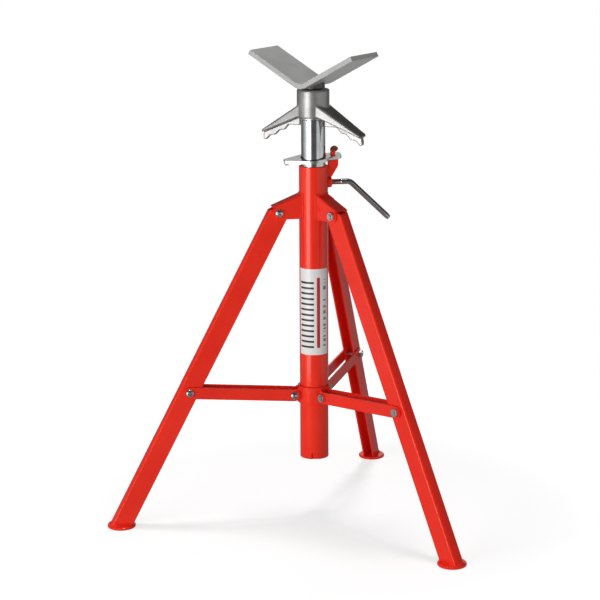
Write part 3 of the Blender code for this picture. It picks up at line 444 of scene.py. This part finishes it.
def bracket_seam():
    """Up one cheek of a bracket, across its sloping top, and down the other cheek, all on the tube."""
    across = np.linspace(-BRACKET_HALF_WIDTH, BRACKET_HALF_WIDTH, SEAM_STEPS)
    top = on_tube(across, 0)
    drop = (top[:, 0] - HINGE_RADIUS) * sin(BRACKET_SLOPE)
    top[:, 2] = HINGE_HEIGHT + (BRACKET_RISE - drop) / cos(BRACKET_SLOPE)
    cheeks = on_tube(across[[0, -1]], HINGE_HEIGHT - BRACKET_FOOT)
    return np.concatenate([cheeks[:1], top, cheeks[1:]])


def foot_seam():
    """Round the three sides of a leg's channel, where it stands on its foot."""
    leg_line = HINGE_RADIUS + (HINGE_HEIGHT - FOOT_TOP) * tan(LEG_ANGLE)
    out = leg_line + LEG_WEB / cos(LEG_ANGLE)
    back = out - LEG_DEPTH / cos(LEG_ANGLE)
    h, z, bend = LEG_HALF_WIDTH, FOOT_TOP + FOOT_BEAD_RAISE, LEG_BEND
    return [(back, -h, z), (out - bend, -h, z), (out, -h + bend, z),
            (out, h - bend, z), (out - bend, h, z), (back, h, z)]


for side, azimuth in LEG_AZIMUTHS.items():
    carry(weld(f"bracket_weld_{side}", placed(bracket_seam(), azimuth)), "stand", RED, "red_paint")
    carry(weld(f"foot_weld_{side}", placed(foot_seam(), azimuth)), f"leg_{side}", RED, "red_paint")


# Braces and collar. Two flat bars of steel tie each leg to a ring with ears that slides on the tube.
# All are powder coated like the legs.
for side in LEG_AZIMUTHS:
    for bar in ("near", "far"):
        node = f"brace_{bar}_{side}"
        carry(dressed(node), f"brace_{side}", RED, "red_paint", node)
carry(dressed("collar"), "collar", RED, "red_paint", "collar")


# Bolts, pins and nuts at every hinge, of zinc plated steel. Bolts have button heads with a hexagon
# socket, and plain nuts on the other side.
ZINC_LIGHT = (0.76, 0.78, 0.78)
ZINC_DULL = (0.62, 0.64, 0.65)


def zinc_plate(name, rough, stretch=None, light=ZINC_LIGHT, dull=ZINC_DULL):
    """Zinc plate: a metal whose tone and gloss cloud slightly, with faint drawing lines."""
    material, tree, shader, place = finish(name)
    cloud = place.grain(scale=60, detail=3)
    lines = place.grain(scale=90, stretch=stretch or (1, 1, 1))
    wire(tree, shader, Base_Color=cloud.band(0.2, 0.75).blend(dull, light), Metallic=1.0)
    wire(tree, shader, Roughness=rough + lines * 0.06, Normal=lines.bump(depth=0.00002, strength=0.08))
    return material


ZINC = zinc_plate("zinc_plated_fasteners", rough=0.30)
for side in LEG_AZIMUTHS:
    for kind, body in (
        ("hinge_bolt", "stand"),
        ("hinge_nut", "stand"),
        ("leg_pin", f"leg_{side}"),
        ("collar_bolt", "collar"),
        ("collar_nut", "collar"),
        ("brace_bolt", f"brace_{side}"),
        ("brace_nut", f"brace_{side}"),
    ):
        node = f"{kind}_{side}"
        carry(dressed(node, edge=0.0003, pieces=1), body, ZINC, "zinc_plate", node)


# Post clamp. A hexagon nut is welded to the tube and painted with it. The lever in it is a zinc plated
# rod, threaded at its inner end and bent down to make a handle.
CLAMP_HEIGHT = 0.5783
CLAMP_NUT_CORNER = 0.00924
CLAMP_BEAD = 0.0012
CLAMP_SEAM_STEPS = 49
LEVER_RADIUS = 0.00475
LEVER_START = 0.02045
LEVER_THREAD_END = 0.0470
LEVER_PITCH = 0.00159
LEVER_THREAD_DEPTH = 0.00085
LEVER_THREAD_FADE = 0.002
LEVER_BEND_START = 0.0620
LEVER_BEND_RADIUS = 0.0140
LEVER_BEND_ANGLE = radians(44)
LEVER_TAIL = 0.0925
LEVER_CHAMFER = 0.0009
LEVER_SIDES = 32
LEVER_ROWS = 8
ROD_LIGHT = (0.70, 0.71, 0.71)
ROD_DULL = (0.58, 0.59, 0.59)


def clamp_nut_seam():
    """Round the nut where it meets the tube: the reach of a hexagon's outline at each angle is its
    half width over the cosine of the angle from the nearest flat."""
    turn = np.linspace(0, 2 * pi, CLAMP_SEAM_STEPS) + pi / 2
    from_flat = (turn - pi / 2 + pi / 6) % (pi / 3) - pi / 6
    reach = CLAMP_NUT_CORNER * cos(pi / 6) / np.cos(from_flat)
    line = on_tube(reach * np.cos(turn), 0)
    line[:, 2] = CLAMP_HEIGHT + reach * np.sin(turn)
    return line


def bent_lever():
    """A rod carried along a line, an arc and a line. Along its thread the radius falls with the phase of
    angle plus turns, as a triangle wave."""
    tangent = LEVER_BEND_RADIUS * tan(LEVER_BEND_ANGLE / 2)
    first = LEVER_BEND_START - tangent - LEVER_START
    bend = LEVER_BEND_RADIUS * LEVER_BEND_ANGLE
    whole = first + bend + LEVER_TAIL - tangent
    thread = LEVER_THREAD_END - LEVER_START
    s = np.concatenate([np.arange(0, thread, LEVER_PITCH / LEVER_ROWS), np.linspace(thread, first, 8)[1:],
                        first + np.linspace(0, bend, 12)[1:], np.linspace(first + bend, whole, 16)[1:]])
    turn = np.clip((s - first) / LEVER_BEND_RADIUS, 0, LEVER_BEND_ANGLE)
    x = LEVER_START + np.minimum(s, first) + LEVER_BEND_RADIUS * np.sin(turn)
    z = -LEVER_BEND_RADIUS * (1 - np.cos(turn))
    past = np.maximum(s - first - bend, 0)
    x, z = x + past * cos(LEVER_BEND_ANGLE), z - past * sin(LEVER_BEND_ANGLE)
    x, z, turn, s = x[:, None], z[:, None], turn[:, None], s[:, None]
    a = around(LEVER_SIDES)
    wave = np.abs(((s / LEVER_PITCH + a / (2 * pi)) % 1) * 2 - 1)
    fade = np.clip((thread - s) / LEVER_THREAD_FADE, 0, 1)
    r = LEVER_RADIUS - LEVER_THREAD_DEPTH * (1 - wave) * fade
    r = r - np.clip(LEVER_CHAMFER - np.minimum(s, whole - s), 0, LEVER_CHAMFER)
    aside, up = r * np.cos(a), r * np.sin(a)
    grid = np.stack([x + up * np.sin(turn), aside, z + up * np.cos(turn)], -1)
    ends = np.repeat(grid[[0, -1]].mean(1, keepdims=True), LEVER_SIDES, 1)
    grid = np.concatenate([ends[:1], grid, ends[1:]]) + np.array([0, 0, CLAMP_HEIGHT])
    return skin("lever", grid)


carry(dressed("clamp_nut", edge=0.0006), "stand", RED, "red_paint", "clamp_nut")
carry(weld("clamp_nut_weld", clamp_nut_seam(), CLAMP_BEAD), "stand", RED, "red_paint")
ROD_ZINC = zinc_plate("zinc_plated_rod", rough=0.20, light=ROD_LIGHT, dull=ROD_DULL)
carry(bent_lever(), "clamp_lever", ROD_ZINC, "zinc_plate", "clamp_lever")


# Drop lock. A thick zinc plated plate round the post tilts and bites on it. A hook cut from 10 mm
# plate holds it, welded to the tube's top and painted; its paint turns dark brown in patches on its head.
HOOK_HALF_SHEET = 0.0050
HOOK_FOOT = 0.5879
HOOK_WELD_TOP = 0.6048
HOOK_HEAD = 0.6300
HOOK_BEAD = 0.0013
LOCK_LIGHT = (0.80, 0.81, 0.81)
LOCK_DULL = (0.64, 0.65, 0.65)
HEAD_DARKENED_RED = powder_coat("head_darkened_powder_coat", darkened_above=HOOK_HEAD)
carry(dressed("lock_hook", edge=0.0008, pieces=3), "stand", HEAD_DARKENED_RED, "red_paint", "lock_hook")
for name, y in (("near", -HOOK_HALF_SHEET), ("far", HOOK_HALF_SHEET)):
    hook_seam = on_tube([y, y], [HOOK_FOOT, HOOK_WELD_TOP])
    carry(weld(f"hook_weld_{name}", hook_seam, HOOK_BEAD), "stand", RED, "red_paint")
LOCK_ZINC = zinc_plate("zinc_plated_plate", rough=0.26, light=LOCK_LIGHT, dull=LOCK_DULL)
carry(dressed("lock_plate", edge=0.0006), "lock_plate", LOCK_ZINC, "zinc_plate", "lock_plate")


# Post. A steel tube drawn to size and zinc plated, so its faint lines run along it. A thrust washer
# of the same finish lies on its top, under the wing nut.
POST_RADIUS = 0.02015
POST_BORE = 0.01725
POST_BOTTOM = 0.1500
POST_TOP = 0.6846
POST_EDGE = 0.0008
POST_SIDES = 160
DRAWN = (1, 1, 0.05)


def rounded(points, radius, pieces=4):
    """Replaces each inner corner of a line of points by a curve that starts and ends this far from it:
    the sum of start, corner and end, weighted by the squares and the product of t and 1 - t."""
    points = np.asarray(points, float)
    line = [points[0]]
    for before, corner, after in zip(points[:-2], points[1:-1], points[2:]):
        back, on = before - corner, after - corner
        lengths = np.hypot(*back), np.hypot(*on)
        start = corner + back / lengths[0] * min(radius, lengths[0] / 2)
        end = corner + on / lengths[1] * min(radius, lengths[1] / 2)
        t = np.linspace(0, 1, pieces + 1)[:, None]
        line.extend((1 - t) ** 2 * start + 2 * t * (1 - t) * corner + t ** 2 * end)
    line.append(points[-1])
    return np.array(line)


def post_tube():
    """A wall's profile of radius and height, turned round +Z. It starts and ends inside the bore."""
    profile = rounded([(POST_BORE, POST_TOP - 0.01), (POST_BORE, POST_TOP),
                       (POST_RADIUS, POST_TOP), (POST_RADIUS, POST_BOTTOM),
                       (POST_BORE, POST_BOTTOM), (POST_BORE, POST_TOP - 0.02)], POST_EDGE)
    r, h = profile[:, 0, None], profile[:, 1, None]
    return skin("post_tube", polar(r, around(POST_SIDES), h), rows_close=True)


POST_ZINC = zinc_plate("zinc_plated_post", rough=0.11, stretch=DRAWN)
carry(post_tube(), "post", POST_ZINC, "zinc_plate", "post")
carry(dressed("thrust_washer", edge=0.0005), "post", ZINC, "zinc_plate", "thrust_washer")


# Wing nut. One grey iron casting of a hub, two arms and a finger grip under each. It turns on the
# washer. Its edges are soft all over, as sand casting leaves them.
CAST_LIGHT = (0.40, 0.395, 0.39)
CAST_DULL = (0.31, 0.305, 0.30)
CAST_VOXEL = 0.0010
CAST_EASING = 12


def casting(name):
    """A plated casting: part metal, with a fine sand-cast grain and slow changes of tone."""
    material, tree, shader, place = finish(name)
    cloud = place.grain(scale=38, detail=3)
    sand = place.grain(scale=900, detail=3, roughness=0.6)
    wire(tree, shader, Base_Color=cloud.band(0.25, 0.75).blend(CAST_DULL, CAST_LIGHT), Metallic=0.62)
    wire(tree, shader, Roughness=0.30 + sand * 0.12, Normal=sand.bump(depth=0.00015, strength=0.2))
    return material


def cast_nut():
    """The nut's CAD solid, covered by an even skin whose points are then drawn to their neighbours."""
    nut = dressed("wing_nut", edge=0)
    cover = nut.modifiers.new("cast_skin", "REMESH")
    cover.mode = "VOXEL"
    cover.voxel_size = CAST_VOXEL
    cover.use_smooth_shade = True
    ease = nut.modifiers.new("cast_fillets", "SMOOTH")
    ease.factor = 0.5
    ease.iterations = CAST_EASING
    return nut


carry(cast_nut(), "wing_nut", casting("grey_casting"), "cast_grey", "wing_nut")


# Head. A dark steel jack screw with a trapezoidal thread and a stop ring at its foot, a boss on the
# screw, and on that a thick steel plate bent to a V, which the pipe lies in.
PLATE_LIGHT = (0.44, 0.44, 0.435)
PLATE_DULL = (0.38, 0.38, 0.375)
PLATE_METAL = 0.2
DARK_LIGHT = (0.16, 0.16, 0.16)
DARK_DULL = (0.10, 0.10, 0.10)
DARK_METAL = 0.6
SCREW_RADIUS = 0.0127
SCREW_PITCH = 0.00508
SCREW_THREAD_DEPTH = 0.0027
SCREW_BOTTOM = 0.5610
SCREW_TOP = 0.7361
SCREW_SIDES = 64
SCREW_ROWS = 12
SCREW_CREST = 0.36
SCREW_FLANK = 0.28
STOP_RADIUS = 0.0160
STOP_HEIGHT = 0.0080
STOP_CHAMFER = 0.0010


def mill_steel(name, light, dull, metal):
    """Plain steel with mill scale: satin, slightly clouded, with a very fine grain."""
    material, tree, shader, place = finish(name)
    cloud = place.grain(scale=30, detail=4)
    fine = place.grain(scale=420)
    wire(tree, shader, Base_Color=cloud.band(0.2, 0.8).blend(dull, light), Metallic=metal)
    wire(tree, shader, Roughness=0.42 + cloud * 0.1, Normal=fine.bump(depth=0.0001, strength=0.10))
    return material


def threaded_screw():
    """A bar whose radius falls and rises along each turn as a flat-topped wave, for the trapezoidal
    thread: the phase is height over pitch less the angle's share of a turn."""
    stop_top = SCREW_BOTTOM + STOP_HEIGHT
    threads = np.arange(stop_top, SCREW_TOP - 0.0005, SCREW_PITCH / SCREW_ROWS)
    stop = [SCREW_BOTTOM, SCREW_BOTTOM + STOP_CHAMFER, stop_top - 0.0001]
    h = np.concatenate([stop, threads, [SCREW_TOP]])[:, None]
    a = around(SCREW_SIDES)
    phase = np.abs(((h / SCREW_PITCH - a / (2 * pi)) % 1) * 2 - 1)
    cut = np.clip((phase - SCREW_CREST) / SCREW_FLANK, 0, 1) * SCREW_THREAD_DEPTH
    r = np.where(h < stop_top - 0.00005, STOP_RADIUS, SCREW_RADIUS - cut)
    r = np.where(h == SCREW_BOTTOM, STOP_RADIUS - STOP_CHAMFER, r)
    middle = np.zeros((1, SCREW_SIDES, 3))
    ends = middle + [0, 0, SCREW_BOTTOM], middle + [0, 0, SCREW_TOP]
    return skin("screw", np.concatenate([ends[0], polar(r, a, h), ends[1]]))


SATIN_PLATE = mill_steel("satin_steel_plate", PLATE_LIGHT, PLATE_DULL, PLATE_METAL)
DARK_STEEL = mill_steel("dark_steel", DARK_LIGHT, DARK_DULL, DARK_METAL)
carry(dressed("v_plate", edge=0.0007, pieces=3), "head", SATIN_PLATE, "steel_grey", "v_plate")
carry(dressed("v_boss", edge=0.0006), "head", DARK_STEEL, "steel_grey", "v_boss")
carry(threaded_screw(), "head", DARK_STEEL, "steel_grey", "jack_screw")


# Floor. A round white paper floor of a studio, that runs into the white background and keeps the soft
# shadows. Its white is its own glow to the camera. Gloss sees a dim floor, and other rays a grey one.
FLOOR_RADIUS = 0.9
FLOOR_SIDES = 96
GLOW_MIDDLE = 0.70
GLOW_EDGE = (0.35, 0.85)
GLOW_MIRRORED = 0.1
BOUNCE = 0.22
FLOOR_GREY = (0.46, 0.46, 0.46)
FLOOR_MIRRORED = (0.20, 0.20, 0.20)


def paper_floor(name):
    """White paper whose glow grows from its middle to its edge, and depends on what kind of ray sees it."""
    material, tree, shader, place = finish(name)
    seen = place.node("LightPath").output("Is Camera Ray")
    mirrored = seen.output("Is Glossy Ray")
    radius = place.node("VectorMath", {"operation": "LENGTH"}, {0: place}, out=1)
    white = GLOW_MIDDLE + radius.band(*GLOW_EDGE) * (1 - GLOW_MIDDLE)
    glow = (seen + mirrored * GLOW_MIRRORED) * white + (1 - seen) * (1 - mirrored) * BOUNCE
    wire(tree, shader, Base_Color=mirrored.blend(FLOOR_GREY, FLOOR_MIRRORED), Roughness=0.9)
    wire(tree, shader, Specular_IOR_Level=0.0, Emission_Strength=1.0)
    wire(tree, shader, Emission_Color=glow.blend((0, 0, 0), (1, 1, 1)))
    return material


floor_mesh = bpy.data.meshes.new("studio_floor")
rim = polar(FLOOR_RADIUS, around(FLOOR_SIDES), 0)[0]
floor_mesh.from_pydata(rim.tolist(), [], [list(range(FLOOR_SIDES))])
floor_mesh.materials.append(paper_floor("white_paper"))
floor = bpy.data.objects.new("studio_floor", floor_mesh)
bpy.context.scene.collection.objects.link(floor)


# World. White to the camera and to what passes through. Gloss and metal see a studio of grey walls
# round the object, a bright light box on the left, and a pale strip behind for the lock plate's top.
# Other rays see an even grey, darker overhead. Azimuths are in degrees, 0 in front, left negative.
BEHIND = radians(78.8)
WALLS = [
    (-180, 0.42), (-168, 0.42), (-158, 0.04), (-130, 0.05), (-104, 0.16), (-84, 0.36),
    (-72, 0.50), (-24, 0.50), (-14, 0.05), (26, 0.05), (37, 0.36), (62, 0.30),
    (92, 0.34), (108, 0.17), (120, 0.10), (152, 0.09), (160, 0.42), (180, 0.42),
]
WALL_LOW = 2.0
WALL_FALL = 1.8
WALL_DIMS = (-0.04, 0.14)
BOX_LEFT, BOX_RIGHT = (-62, -55), (-33, -26)
BOX_FOOT, BOX_TOP = (-0.50, -0.40), (0.02, 0.16)
BOX_LEVEL = 4.8
STRIP_SIDE = (170, 175)
STRIP_FOOT, STRIP_TOP = (0.26, 0.32), (0.42, 0.48)
AMBIENT = 0.40
AMBIENT_FALL = 0.30
AMBIENT_DIMS = (-0.1, 0.6)


def round_at(*degrees):
    """Azimuths as places once round, from 0 to 1, straight behind being both."""
    return [(angle + 180) / 360 for angle in degrees]


def studio_level(east, north, up):
    """The grey that gloss sees in a direction: walls by azimuth, dimmer upward, plus box and strip."""
    facing = east * -cos(BEHIND) - north * sin(BEHIND)
    aside = east * sin(BEHIND) - north * cos(BEHIND)
    azimuth = aside.math("ARCTAN2", aside, facing) / (2 * pi) + 0.5
    stops = [(round_at(degrees)[0], (grey,) * 3) for degrees, grey in WALLS]
    walls = azimuth.node("ValToRGB", {"stops": stops}, {"Fac": azimuth})
    walls = walls * (WALL_LOW - up.band(*WALL_DIMS) * WALL_FALL)
    box = window(azimuth, round_at(*BOX_LEFT), round_at(*BOX_RIGHT)) * window(up, BOX_FOOT, BOX_TOP)
    inner, outer = STRIP_SIDE
    strip = azimuth.band(*round_at(-inner, -outer)) + azimuth.band(*round_at(inner, outer))
    strip = strip * window(up, STRIP_FOOT, STRIP_TOP)
    return walls + box * BOX_LEVEL + strip


world = bpy.data.worlds.new("studio")
bpy.context.scene.world = world
world.use_nodes = True
sky = world.node_tree
direction = Shade(sky).node("TexCoord").output("Generated")
east = direction.node("SeparateXYZ", {}, {"Vector": direction})
north, up = east.output("Y"), east.output("Z")
camera_ray = direction.node("LightPath").output("Is Camera Ray")
grey = AMBIENT - up.band(*AMBIENT_DIMS) * AMBIENT_FALL
studio = {0: camera_ray.output("Is Glossy Ray"), 2: grey, 3: studio_level(east, north, up)}
level = camera_ray.node("Mix", {"data_type": "FLOAT"}, studio)
white = camera_ray.math("MAXIMUM", camera_ray, camera_ray.output("Is Transmission Ray"))
level = level.math("MAXIMUM", level, white)
sky.links.new(level.socket, sky.nodes["Background"].inputs["Strength"])
sky.nodes["Background"].inputs["Color"].default_value = (1, 1, 1, 1)


# Lamps. A large soft lamp low on the left, a small one overhead and a soft fill below the camera. Only
# the small one shows in gloss: the world's light box stands for the others there.
AIM = (0, 0, 0.45)


def lamp(name, place, size, power):
    """An area lamp turned towards the middle of the object."""
    light = bpy.data.lights.new(name, "AREA")
    light.shape = "RECTANGLE"
    light.size, light.size_y = size
    light.energy = power
    item = bpy.data.objects.new(name, light)
    bpy.context.scene.collection.objects.link(item)
    item.location = place
    x, y, z = np.array(AIM) - np.array(place)
    item.rotation_euler = (pi / 2 + atan2(z, np.hypot(x, y)), 0, atan2(y, x) - pi / 2)
    return item


lamp("key", place=(-2.90, -1.95, 0.90), size=(2.7, 1.6), power=72).visible_glossy = False
lamp("top", place=(0.0, 0.25, 2.6), size=(0.3, 0.3), power=25)
lamp("fill", place=(-0.46, -3.17, 0.45), size=(0.5, 0.8), power=16).visible_glossy = False


# Camera. It stands where the photograph was taken from, 3.2 m away and a little above the object, with
# a long lens. The small shift frames the object as in the photograph.
CAMERA_PLACE = (-0.6272, -3.1620, 1.1467)
CAMERA_DOWN = radians(13.73)
CAMERA_ROLL = radians(0.22)
CAMERA_HEADING = radians(-11.22)
lens = bpy.data.cameras.new("camera")
lens.sensor_width = 36
lens.lens = 118.13
lens.shift_x = -0.02023
lens.shift_y = 0.01807
camera = bpy.data.objects.new("camera", lens)
bpy.context.scene.collection.objects.link(camera)
camera.location = CAMERA_PLACE
camera.rotation_euler = (pi / 2 - CAMERA_DOWN, CAMERA_ROLL, CAMERA_HEADING)
bpy.context.scene.camera = camera
bpy.context.scene.view_settings.view_transform = "Standard"
